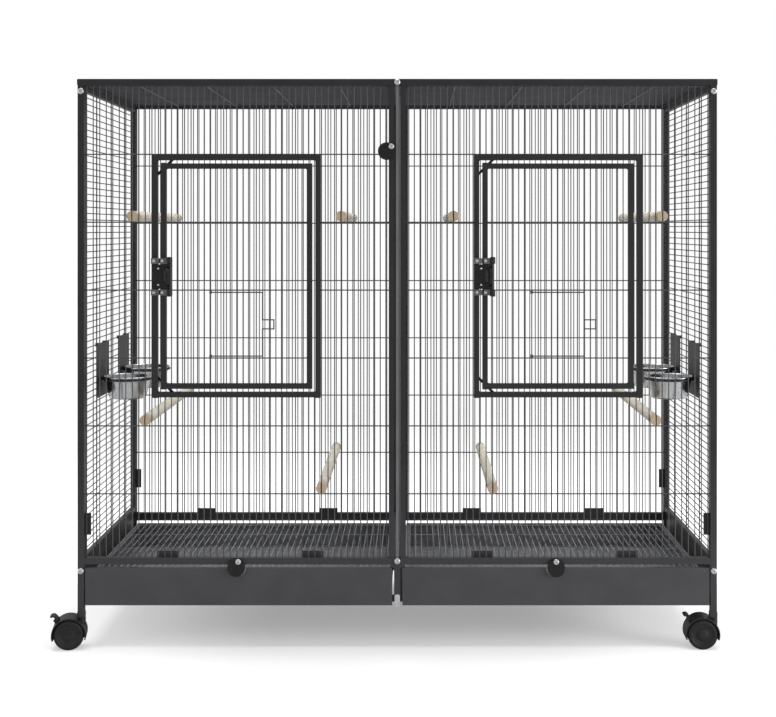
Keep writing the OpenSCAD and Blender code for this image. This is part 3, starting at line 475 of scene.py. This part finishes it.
# %% Spun cups
# Sizes of turned forms are in millimetres.
BEAD_R = 1.75
CUP_WALL = 0.9
CUP_BEND = 4.0
FOOT_IN = 11.5
DENT_IN, STAND_IN, DENT_H, INNER_H = 9, 7, 0.8, 1.7
for side in ("left", "right"):
    for place in ("front", "rear"):
        body = f"{side}_{place}_cup"
        low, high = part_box(body)
        rim, tall = (high.x - low.x) / 2 / MM, (high.z - low.z) / MM
        top, foot = rim - 2 * BEAD_R, rim - FOOT_IN
        profile = [(0, DENT_H), (foot - DENT_IN, DENT_H), (foot - STAND_IN, 0)]
        profile += arc(foot - CUP_BEND, CUP_BEND, CUP_BEND, -90, -12)
        profile += arc(rim - BEAD_R, tall - BEAD_R, BEAD_R, -140, 140, 14)
        profile += [(top - CUP_WALL, tall - 2 * BEAD_R)]
        profile += arc(foot - CUP_BEND - CUP_WALL, CUP_BEND + INNER_H, CUP_BEND, -12, -90)
        profile += [(0, INNER_H)]
        cup = bmesh.new()
        middle = ((low.x + high.x) / 2, (low.y + high.y) / 2, low.z)
        spin(cup, profile, middle, (0, 0, 1), segments=72)
        make_piece(f"{body}_spun", cup, body, cup_steel, "cup_steel", body)
print("cup rim", round(2 * rim, 1), "mm, height", round(tall, 1), "mm")

# %% [markdown]
# A caster's wheel is moulded with a rounded outer shoulder, a shallow dished face and a hub cap.
# Two of them sit on one axle. The axle's place and direction come from the joint they spin on.

# %% Twin wheels
WHEEL_IN, WHEEL_OUT = 5.0, 21.0
SHOULDER, INNER_EDGE, AXLE_R = 4.0, 1.2, 3.0
# The dish: how far in from the tread, and how deep below the face. The cap: radius and depth.
DISH = [(6.5, 0), (7.2, 0.8), (8.4, 1.6)]
HUB_CAP = [(11, 2), (10.4, 1.2), (9.4, 0.6), (4, 0.1), (0, 0)]
axle_pin = [(0, -WHEEL_IN), (AXLE_R, -WHEEL_IN), (AXLE_R, WHEEL_IN), (0, WHEEL_IN)]
for corner in ("front_left", "front_right", "rear_left", "rear_right"):
    joint = joints[f"{corner}_wheel_spin"]
    centre, axle = Vector(joint["pos_m"]), Vector(joint["axis"])
    r = centre.z / MM
    profile = [(0, WHEEL_IN)]
    profile += arc(r - INNER_EDGE, WHEEL_IN + INNER_EDGE, INNER_EDGE, -90, 0, 3)
    profile += arc(r - SHOULDER, WHEEL_OUT - SHOULDER, SHOULDER, 0, 90)
    profile += [(r - inset, WHEEL_OUT - deep) for inset, deep in DISH]
    profile += [(radius, WHEEL_OUT - deep) for radius, deep in HUB_CAP]
    wheels = bmesh.new()
    for way in (axle, -axle):
        spin(wheels, profile, centre, way, segments=64)
    spin(wheels, axle_pin, centre, axle)
    body, plain = f"{corner}_wheel_pair", f"{corner}_wheels"
    make_piece(f"{corner}_twin_wheels", wheels, body, tread, "wheel_black", plain)
print("wheel radius", round(r, 1), "mm")

# %% [markdown]
# To dress the joints, the script has to know where each tube and each bolt is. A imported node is
# one mesh, but its solids don't touch, so following the edges from vertex to vertex finds them
# again. Each solid is kept as the lowest and the highest corner of its box.


# %% Solids of a node
SAME_POINT = 0.001 * MM


def solids(name):
    """Lowest and highest corners of each separate solid in a node."""
    form = bmesh.new()
    form.from_mesh(nodes[name].data)
    bmesh.ops.remove_doubles(form, verts=form.verts, dist=SAME_POINT)
    seen, boxes = set(), []
    for seed in form.verts:
        if seed in seen:
            continue
        seen.add(seed)
        group = [seed]
        for vert in group:
            for edge in vert.link_edges:
                other = edge.other_vert(vert)
                if other not in seen:
                    seen.add(other)
                    group.append(other)
        columns = list(zip(*(v.co for v in group)))
        boxes.append((Vector([min(c) for c in columns]), Vector([max(c) for c in columns])))
    form.free()
    return boxes


bolts, screws = solids("frame_bolts"), solids("lock_screws")
print("bolts", len(bolts), "screws", len(screws))

# %% [markdown]
# The bolts are button heads with a six-sided key socket. The head faces away from the cage, and
# the shank goes the other way, into the tube.

# %% Bolt and screw heads
HEAD_H, EDGE_H = 3.6, 0.6
SOCKET_R, SOCKET_DEEP = 2.2, 2.0
LAND_W, MOUTH_DEEP, POINT_DEEP = 0.6, 0.2, 0.4
DOME_STEPS, DOME_STEP = 7, 15


def socket_head(form, low, high):
    """Adds a button head and its shank in the box of the plain bolt."""
    out = math.copysign(1, low.y + high.y)
    base_y = high.y - HEAD_H * MM if out > 0 else low.y + HEAD_H * MM
    head_r = (high.x - low.x) / 2 / MM
    shank = (high.y - low.y) / MM - HEAD_H
    land = SOCKET_R + LAND_W
    rise = [math.radians(DOME_STEP * k) for k in range(DOME_STEPS)]
    dome = [(math.cos(a), math.sin(a)) for a in rise]
    profile = [(0, -shank), (head_r / 2, -shank), (head_r / 2, 0), (head_r, 0)]
    profile += [(land + (head_r - land) * c, EDGE_H + (HEAD_H - EDGE_H) * s) for c, s in dome]
    profile += [(SOCKET_R, HEAD_H - MOUTH_DEEP, "hex"), (SOCKET_R, HEAD_H - SOCKET_DEEP, "hex")]
    profile += [(0, HEAD_H - SOCKET_DEEP - POINT_DEEP)]
    middle = ((low.x + high.x) / 2, base_y, (low.z + high.z) / 2)
    spin(form, profile, middle, (0, out, 0), segments=36)


for name, boxes in (("frame_bolts", bolts), ("lock_screws", screws)):
    heads = bmesh.new()
    for low, high in boxes:
        socket_head(heads, low, high)
    make_piece(f"{name}_with_sockets", heads, "cage", zinc, "zinc_plate", name)
print("socket heads", len(bolts) + len(screws))

# %% [markdown]
# Each latch bolt carries two bright rivets that hold its finger loop. They move with the bolt.

# %% Latch rivets
RIVET_IN, BOLT_T, RIVET_R = 12.0, 5.0, 2.2
RIVET_FOOT, RIVET_EDGE, RIVET_FLAT, RIVET_TOP = 1, 0.2, 0.6, 1.8
RIVET_SHARES = (1 / 6, 5 / 6)
rivet = [(0, -RIVET_FOOT), (RIVET_R, -RIVET_FOOT), (RIVET_R, RIVET_EDGE)]
rivet += arc(RIVET_FLAT, RIVET_EDGE, RIVET_R - RIVET_FLAT, 0, 90) + [(0, RIVET_TOP)]
for side in ("left", "right"):
    low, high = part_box(f"{side}_latch_bolt")
    rivets = bmesh.new()
    for share in RIVET_SHARES:
        face_y = high.y - (BOLT_T + RIVET_FOOT) * MM
        middle = (low.x + RIVET_IN * MM, face_y, low.z + share * (high.z - low.z))
        spin(rivets, rivet, middle, (0, -1, 0), segments=24)
    make_piece(f"{side}_latch_rivets", rivets, f"{side}_bolt", zinc, "zinc_plate")
print("rivets on each bolt", len(RIVET_SHARES))

# %% [markdown]
# Small pan-head screws hold the latch: one through each end block of the plate, which swings with
# the door, and one through each keeper on the opening's tube. They are centred on the tubes that
# they bite into.

# %% Latch screws
SCREW_R, SCREW_H, KEY_R = 2.8, 1.7, 1.2
SCREW_DEEP, SCREW_ROUND, KEY_DEEP, KEY_POINT = 3, 1, 1, 1.2
STILE_HALF, BLOCK_HALF = 5.0, 5.5
keepers = solids("latch_keepers")


def pan_head(form, middle):
    """Adds a pan-head screw with a key socket to a front face."""
    profile = [(0, -SCREW_DEEP), (SCREW_R / 2, -SCREW_DEEP), (SCREW_R / 2, 0), (SCREW_R, 0)]
    profile += arc(SCREW_R - SCREW_ROUND, SCREW_H - SCREW_ROUND, SCREW_ROUND, 0, 90, 4)
    profile += [(KEY_R, SCREW_H, "hex"), (KEY_R, SCREW_H - KEY_DEEP, "hex")]
    profile += [(0, SCREW_H - KEY_POINT)]
    spin(form, profile, middle, (0, -1, 0), segments=24)


for side in ("left", "right"):
    low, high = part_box(f"{side}_latch_plate")
    plate_screws = bmesh.new()
    for z in (low.z + BLOCK_HALF * MM, high.z - BLOCK_HALF * MM):
        pan_head(plate_screws, (low.x + STILE_HALF * MM, low.y, z))
    make_piece(f"{side}_latch_screws", plate_screws, f"{side}_door", zinc, "zinc_plate")
keeper_screws = bmesh.new()
for low, high in keepers:
    pan_head(keeper_screws, ((low.x + high.x) / 2, low.y, (low.z + high.z) / 2))
make_piece("keeper_screws", keeper_screws, "cage", zinc, "zinc_plate")
print("screws on each plate", 2, "on the keepers", len(keepers))

# %% [markdown]
# The latch is a moulding with soft shapes. A black rounded ear closes the outer end of each end
# block, and each keeper has a lip that reaches towards the door, so that a beak can't get behind
# the bolt. The ears swing with the door; the lips stay on the cage and leave the door room.

# %% Latch ears and keeper lips
EAR_R, EAR_H, EAR_BEND, EAR_IN = 5.0, 13.0, 1.8, 3.5
EAR_PAST = 2
LIP_OUT, LIP_HALF, LIP_FOOT, LIP_EDGE = 5.2, 5.3, 1, 1
ear = [(0, -EAR_H / 2)] + arc(EAR_R - EAR_BEND, EAR_BEND - EAR_H / 2, EAR_BEND, -90, 0)
ear += arc(EAR_R - EAR_BEND, EAR_H / 2 - EAR_BEND, EAR_BEND, 0, 90) + [(0, EAR_H / 2)]
lip = [(0, -LIP_FOOT), (LIP_HALF, -LIP_FOOT), (LIP_HALF, LIP_OUT - LIP_EDGE)]
lip += [(LIP_HALF - LIP_EDGE, LIP_OUT), (0, LIP_OUT)]
for side in ("left", "right"):
    low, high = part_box(f"{side}_latch_plate")
    ears = bmesh.new()
    ear_in = (EAR_H / 2 - EAR_PAST) * MM
    for z in (low.z + ear_in, high.z - ear_in):
        spin(ears, ear, (high.x - EAR_IN * MM, low.y, z), (0, 0, 1))
    make_piece(f"{side}_latch_ears", ears, f"{side}_door", black_plastic, "black_plastic")
lips = bmesh.new()
for low, high in keepers:
    middle = (low + high) / 2
    spin(lips, lip, (high.x, middle.y, middle.z), (1, 0, 0), shape="square")
make_piece("keeper_lips", lips, "cage", grey_plastic, "latch_grey")
print("ears on each latch", 2, "lips", len(keepers))

# %% [markdown]
# The back rails carry a narrow drip strip along their lower edge, with a rolled bead that stiffens
# it. It closes most of the gap to the tray, so that seed husks stay inside. Its outline is drawn
# once and pulled along each rail.

# %% Strip under the back rails
STRIP_T, STRIP_H, STRIP_BEAD = 1.2, 5.0, 1.1
bead_z = STRIP_BEAD - STRIP_H
outline = [(STRIP_BEAD - STRIP_T / 2, 0)]
outline += arc(STRIP_BEAD, bead_z, STRIP_BEAD, 120, 420, 14)
outline += [(STRIP_BEAD + STRIP_T / 2, 0)]
strips = bmesh.new()
rails = [(low, high) for low, high in solids("back_frame") if high.x - low.x > high.z - low.z]
lowest = min(low.z for low, high in rails)
for low, high in rails:
    if low.z < lowest + MM:
        ends = []
        for x in (low.x, high.x):
            ends.append([strips.verts.new((x, low.y + y * MM, low.z + z * MM)) for y, z in outline])
            strips.faces.new(ends[-1])
        for k in range(len(outline)):
            strips.faces.new([ends[0][k - 1], ends[0][k], ends[1][k], ends[1][k - 1]])
make_piece("back_rail_strips", strips, "cage", wire_coat_with_painted_sheen, "graphite_wire")
print("strip height", STRIP_H, "mm")

# %% [markdown]
# Two things happen at the end of a tube. Where it meets another tube it is welded, and the weld
# leaves a rippled bead in the inside corners; the flush sides are ground flat before the coat.
# Where it meets nothing, a black plastic plug closes it. The boxes of the solids tell which: a
# point one millimetre beyond the end is either inside another solid or in the open.

# %% Welds and plugs at the tube ends
FRAMES = {
    "cage": [
        "front_left_frame", "front_right_frame", "back_frame",
        "roof_frame", "left_side_frame", "right_side_frame",
    ],
    "left_door": ["left_door_frame"],
    "right_door": ["right_door_frame"],
}
NEIGHBOURS = ["centre_beams", "legs", "door_pins"]
TUBE_MAX, TUBE_MIN_L = 13 * MM, 60 * MM
BEAD, RIPPLE, RIPPLE_L = 1.3, 0.22, 1.4
BEAD_SHORT, CORNER_OUT = 2, 1.5 * MM
PLUG_DEEP, PLUG_IN, PLUG_EDGE = 4, 1.3, 0.1
BOX_SLACK = 0.3 * MM
all_boxes = [box for names in FRAMES.values() for name in names for box in solids(name)]
all_boxes += [box for name in NEIGHBOURS for box in solids(name)]


def in_box(low, point, high):
    """Whether a point lies in a box, or within a hair of it."""
    return all(a - BOX_SLACK < p < b + BOX_SLACK for a, p, b in zip(low, point, high))


def filled(point):
    """Whether a point lies in the box of any solid."""
    return any(in_box(low, point, high) for low, high in all_boxes)


def weld_bead(form, middle, along, length):
    """Adds a rippled bead of this length, centred on middle."""
    count = round(length / RIPPLE_L) * 2
    profile = [(0, 0)]
    profile += [(BEAD + (RIPPLE if k % 2 else -RIPPLE), length * k / count) for k in range(1, count)]
    profile += [(0, length)]
    spin(form, profile, middle - along * length / 2 * MM, along, segments=10)


def end_plug(form, middle, out, half):
    """Adds a square plug with a rounded edge and a dimple to a tube's open end."""
    profile = [(0, -PLUG_DEEP), (half - PLUG_IN, -PLUG_DEEP), (half - PLUG_IN, 0)]
    profile += [(half - PLUG_EDGE, 0), (half - PLUG_EDGE, 0.7), (half - 0.6, 1.2)]
    profile += [(half * 0.5, 1.4), (half * 0.42, 1.0), (0, 0.9)]
    spin(form, profile, middle, out, segments=32, shape="square")


def dress_tube(low, high, welds, plugs):
    """Welds or plugs both ends of a box, if it is a long square tube."""
    size = high - low
    long = max(range(3), key=lambda k: size[k])
    across = [k for k in range(3) if k != long]
    half = size[across[0]] / 2
    if size[long] < TUBE_MIN_L or abs(size[across[0]] - size[across[1]]) > MM or 2 * half > TUBE_MAX:
        return
    for sign, end in ((-1, low[long]), (1, high[long])):
        out = Vector([sign if k == long else 0 for k in range(3)])
        middle = (low + high) / 2
        middle[long] = end
        if not filled(middle + out * MM):
            end_plug(plugs, middle, out, half / MM)
            continue
        for k in across:
            for way in (-1, 1):
                edge = Vector([way if n == k else 0 for n in range(3)])
                if filled(middle + out * MM + edge * (half + CORNER_OUT)):
                    length = 2 * half / MM - BEAD_SHORT
                    weld_bead(welds, middle + edge * half, out.cross(edge), length)


for body, names in FRAMES.items():
    welds, plugs = bmesh.new(), bmesh.new()
    for name in names:
        for low, high in solids(name):
            dress_tube(low, high, welds, plugs)
    print(body, "weld vertices", len(welds.verts), "plug vertices", len(plugs.verts))
    make_piece(f"{body}_tube_welds", welds, body, tube_coat, "graphite_powder_coat")
    make_piece(f"{body}_tube_plugs", plugs, body, black_plastic, "black_plastic")

# %% [markdown]
# Where two wires cross they are spot-welded: pressed together between electrodes until the metal
# runs. The joint stands out as a small flattened knot, and the coat fills its corners. The knots
# of a panel are one piece.

# %% Spot welds on the wires
KNOT = 1.5
WIRE_GAP = 0.5 * MM
knot = [(0, -1.0), (KNOT * 0.8, -0.5), (KNOT, 0), (KNOT * 0.8, 0.5), (0, 1.0)]
PANELS = {
    "cage": [
        "front_left_wires", "front_right_wires", "back_wires",
        "left_side_wires", "right_side_wires", "roof_wires",
    ],
    "left_door": ["left_door_wires"],
    "right_door": ["right_door_wires"],
    "divider": ["divider_wires"],
}


def crossings(boxes):
    """Points half way between two wires that cross, with the direction from one to the other."""
    wires = []
    for low, high in boxes:
        size = high - low
        wires.append((low, high, max(range(3), key=lambda k: size[k])))
    for i, (low_a, high_a, long_a) in enumerate(wires):
        for low_b, high_b, long_b in wires[i + 1 :]:
            if long_a == long_b:
                continue
            third = 3 - long_a - long_b
            gap = max(low_a[third] - high_b[third], low_b[third] - high_a[third])
            point = Vector((0, 0, 0))
            point[long_a] = (low_b[long_a] + high_b[long_a]) / 2
            point[long_b] = (low_a[long_b] + high_a[long_b]) / 2
            on_a = low_a[long_a] < point[long_a] < high_a[long_a]
            on_b = low_b[long_b] < point[long_b] < high_b[long_b]
            if on_a and on_b and gap < WIRE_GAP:
                inner = sorted((low_a[third], high_a[third], low_b[third], high_b[third]))
                point[third] = (inner[1] + inner[2]) / 2
                yield point, Vector([1 if k == third else 0 for k in range(3)])


for body, names in PANELS.items():
    knots, count = bmesh.new(), 0
    for name in names:
        for point, through in crossings(solids(name)):
            spin(knots, knot, point, through, segments=6)
            count += 1
    make_piece(f"{body}_spot_welds", knots, body, wire_coat_with_painted_sheen, "graphite_wire")
    print(body, "spot welds", count)

# %% [markdown]
# A studio sweep is white because it is lit, but more light would wash out the cage. Here the
# floor is a pale matte disc that fades out into a white world. The camera sees that world at full
# white, mirror-like surfaces see it as a dimmer room, and it lights the cage at a plain level. The
# floor's own glow, which only the camera sees, is weaker under the middle of the cage than at its
# ends, as on a floor that is lit from both sides, so the shadow fades out before the wheels.

# %% Floor and world
FLOOR_R, FADE_FROM = 6.0, 1.6
FADE_FULL = FLOOR_R * 0.6
FLOOR_GREY = (0.8, 0.8, 0.8, 1)
WHITE = (1, 1, 1, 1)
MIDDLE_GLOW, END_GLOW = 0.29, 0.43
GLOW_FROM_X, GLOW_FULL_X = 0.22, 0.56
ROOM_LIGHT, ROOM_MIRROR = 0.5, 0.6

floor_mesh = bpy.data.meshes.new("studio_floor")
sheet = bmesh.new()
bmesh.ops.create_circle(sheet, cap_ends=True, segments=96, radius=FLOOR_R)
sheet.to_mesh(floor_mesh)
sheet.free()
floor = bpy.data.objects.new("studio_floor", floor_mesh)
bpy.context.scene.collection.objects.link(floor)
floor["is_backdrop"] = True

floor_paint = bpy.data.materials.new("matte_white_floor")
floor_paint.use_nodes = True
tree = floor_paint.node_tree
tree.nodes.clear()
place = add(tree, "ShaderNodeTexCoord").outputs["Object"]
reach = add(tree, "ShaderNodeVectorMath", {0: place}, operation="LENGTH").outputs["Value"]
edge = {"Value": reach, "From Min": FADE_FROM, "From Max": FADE_FULL}
fade = add(tree, "ShaderNodeMapRange", edge).outputs["Result"]
seen = add(tree, "ShaderNodeLightPath").outputs["Is Camera Ray"]
matte = add(tree, "ShaderNodeBsdfDiffuse", {"Color": FLOOR_GREY})
x = add(tree, "ShaderNodeSeparateXYZ", {"Vector": place}).outputs["X"]
aside = add(tree, "ShaderNodeMath", {0: x}, operation="ABSOLUTE").outputs["Value"]
ends = {"Value": aside, "From Min": GLOW_FROM_X, "From Max": GLOW_FULL_X}
ends |= {"To Min": MIDDLE_GLOW, "To Max": END_GLOW}
lit = add(tree, "ShaderNodeMapRange", ends, interpolation_type="SMOOTHSTEP").outputs["Result"]
lift = add(tree, "ShaderNodeMath", {0: seen, 1: lit}, operation="MULTIPLY").outputs["Value"]
glow = add(tree, "ShaderNodeEmission", {"Color": WHITE, "Strength": lift})
both = add(tree, "ShaderNodeAddShader", {0: matte.outputs["BSDF"], 1: glow.outputs["Emission"]})
clear = add(tree, "ShaderNodeBsdfTransparent")
layers = {0: fade, 1: both.outputs["Shader"], 2: clear.outputs["BSDF"]}
faded = add(tree, "ShaderNodeMixShader", layers)
add(tree, "ShaderNodeOutputMaterial", {"Surface": faded.outputs["Shader"]})
floor_mesh.materials.append(floor_paint)

world = bpy.data.worlds.new("white_studio")
bpy.context.scene.world = world
world.use_nodes = True
tree = world.node_tree
tree.nodes.clear()
ray = add(tree, "ShaderNodeLightPath").outputs
either = {0: ray["Is Glossy Ray"], 1: ray["Is Transmission Ray"]}
mirror = add(tree, "ShaderNodeMath", either, operation="MAXIMUM").outputs["Value"]
room = {"Value": mirror, "To Min": ROOM_LIGHT, "To Max": ROOM_MIRROR}
level = add(tree, "ShaderNodeMapRange", room).outputs["Result"]
brighter = {0: level, 1: ray["Is Camera Ray"]}
shown = add(tree, "ShaderNodeMath", brighter, operation="MAXIMUM").outputs["Value"]
sky = add(tree, "ShaderNodeBackground", {"Color": WHITE, "Strength": shown})
add(tree, "ShaderNodeOutputWorld", {"Surface": sky.outputs["Background"]})
print("floor radius", FLOOR_R, "fades from", FADE_FROM)

# %% [markdown]
# Product photographers light a dark cage with large soft boxes: one above, which shapes the top
# of every tube and lays a soft shadow round the wheels, and one on each side, which draws the
# upright edges. The right one is the stronger.


# %% Soft boxes
AIM = (0, 0, 0.4)
TOP_SIZE, SIDE_SIZE = (3.0, 2.4), (1.6, 1.5)


def soft_box(name, place, size, watts):
    """A rectangular lamp that faces the middle of the cage."""
    lamp = bpy.data.lights.new(name, "AREA")
    lamp.shape = "RECTANGLE"
    lamp.size, lamp.size_y = size
    lamp.energy = watts
    box = bpy.data.objects.new(name, lamp)
    box.location = place
    box.rotation_euler = (Vector(AIM) - Vector(place)).to_track_quat("-Z", "Y").to_euler()
    bpy.context.scene.collection.objects.link(box)


soft_box("overhead_box", (0, 0.3, 3.2), TOP_SIZE, watts=85)
soft_box("left_box", (-3.2, -1.6, 0.8), SIDE_SIZE, watts=16)
soft_box("right_box", (3.2, -1.6, 0.8), SIDE_SIZE, watts=70)

# %% [markdown]
# The last cell puts the box of the solids and that of the dressed cage side by side, and prints
# the second.

# %% Sizes and finish
low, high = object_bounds()
{"cad": [list(cad_low), list(cad_high)], "visual": [list(low), list(high)]}
print("visual box", low, high)
